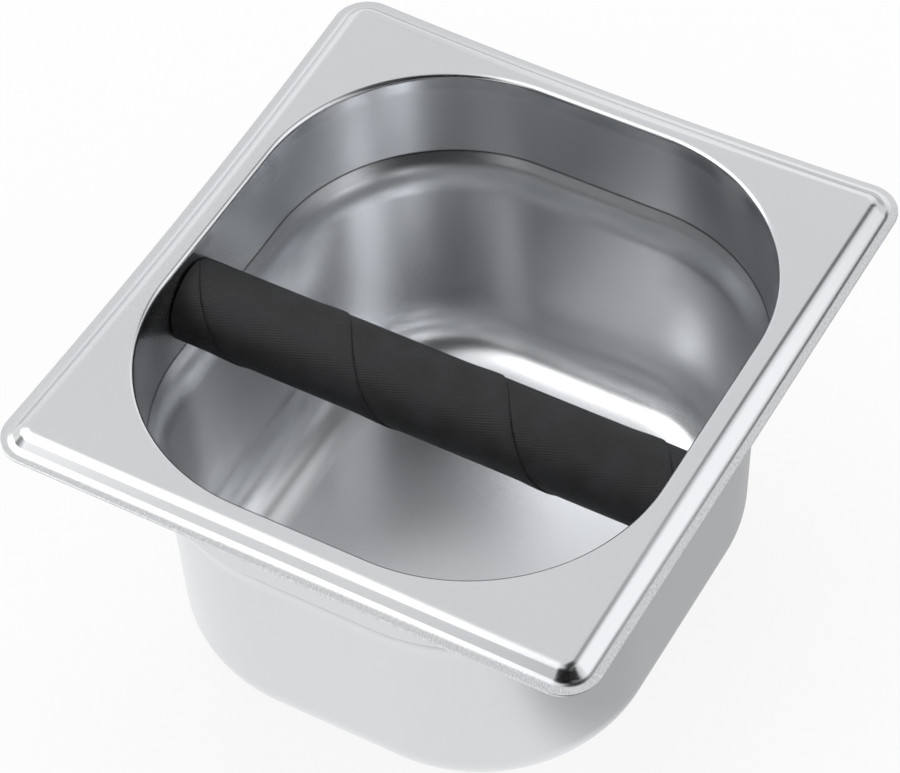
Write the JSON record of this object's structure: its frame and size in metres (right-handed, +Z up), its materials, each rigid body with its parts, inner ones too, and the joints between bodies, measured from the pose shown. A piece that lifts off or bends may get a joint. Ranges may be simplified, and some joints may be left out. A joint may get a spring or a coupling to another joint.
{
  "type": "espresso knock box",
  "caption": "Deep drawn steel pan with a stepped flange and a rubber covered knock bar across it, for knocking spent coffee out of a portafilter.",
  "frame": {"origin": "middle of the flat underside, where the box rests", "axes": "+X along the knock bar, +Y from the bar's side towards the wider space behind it, +Z up out of the mouth"},
  "size_m": [0.162, 0.176, 0.099],
  "materials": {
    "drawn_steel": "satin, fine grain",
    "tube_steel": "drawn tube",
    "plug_steel": "turned",
    "fastener_steel": "bright stainless",
    "seal_rubber": "matt",
    "sleeve_rubber": "matt, cloth wrapped"
  },
  "bodies": {
    "box": {"pan": "drawn_steel", "bar_tube": "tube_steel", "left_end_plug": "plug_steel", "right_end_plug": "plug_steel", "left_sealing_washer": "seal_rubber", "right_sealing_washer": "seal_rubber", "flat_washers": "fastener_steel", "lock_washers": "fastener_steel", "bar_screws": "fastener_steel"},
    "sleeve": {"rubber_sleeve": "sleeve_rubber"}
  },
  "joints": [
    {"name": "sleeve_turn", "type": "hinge", "parent": "box", "child": "sleeve", "pos_m": [0, -0.0151, 0.083], "axis": [1, 0, 0], "continuous": true}
  ]
}
